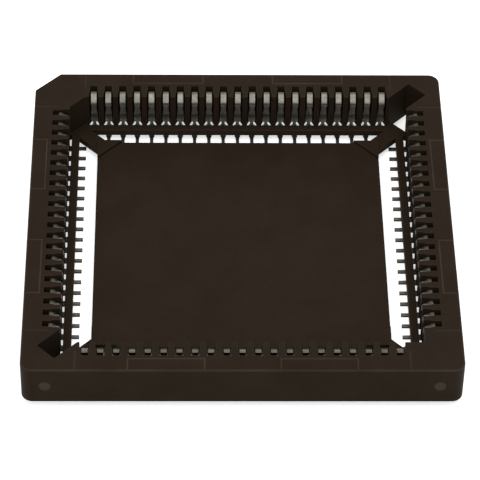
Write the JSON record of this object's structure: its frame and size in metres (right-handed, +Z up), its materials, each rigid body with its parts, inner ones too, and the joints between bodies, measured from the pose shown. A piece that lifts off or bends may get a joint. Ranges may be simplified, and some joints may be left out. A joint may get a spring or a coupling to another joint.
{
  "type": "chip carrier socket",
  "caption": "Square surface-mount socket for a leaded chip carrier: open moulded housing with a floor plate, and a row of sprung contacts along each side.",
  "frame": {"origin": "on the board, under the middle of the socket", "axes": "+Z up off the board, +Y towards the back wall, +X right; the chamfered corner is at -X, +Y"},
  "size_m": [0.0356, 0.0356, 0.0044],
  "materials": {
    "housing_plastic": "moulded, fine grain, satin",
    "contact_tin": "tin-plated, satin"
  },
  "bodies": {
    "root": {"housing": "housing_plastic", "contacts_back_1": "contact_tin", "contacts_back_2": "contact_tin", "contacts_back_3": "contact_tin", "contacts_back_4": "contact_tin", "contacts_back_5": "contact_tin", "contacts_back_6": "contact_tin", "contacts_back_7": "contact_tin", "contacts_left_1": "contact_tin", "contacts_left_2": "contact_tin", "contacts_left_3": "contact_tin", "contacts_left_4": "contact_tin", "contacts_left_5": "contact_tin", "contacts_left_6": "contact_tin", "contacts_left_7": "contact_tin", "contacts_front_1": "contact_tin", "contacts_front_2": "contact_tin", "contacts_front_3": "contact_tin", "contacts_front_4": "contact_tin", "contacts_front_5": "contact_tin", "contacts_front_6": "contact_tin", "contacts_front_7": "contact_tin", "contacts_right_1": "contact_tin", "contacts_right_2": "contact_tin", "contacts_right_3": "contact_tin", "contacts_right_4": "contact_tin", "contacts_right_5": "contact_tin", "contacts_right_6": "contact_tin", "contacts_right_7": "contact_tin"}
  },
  "joints": []
}
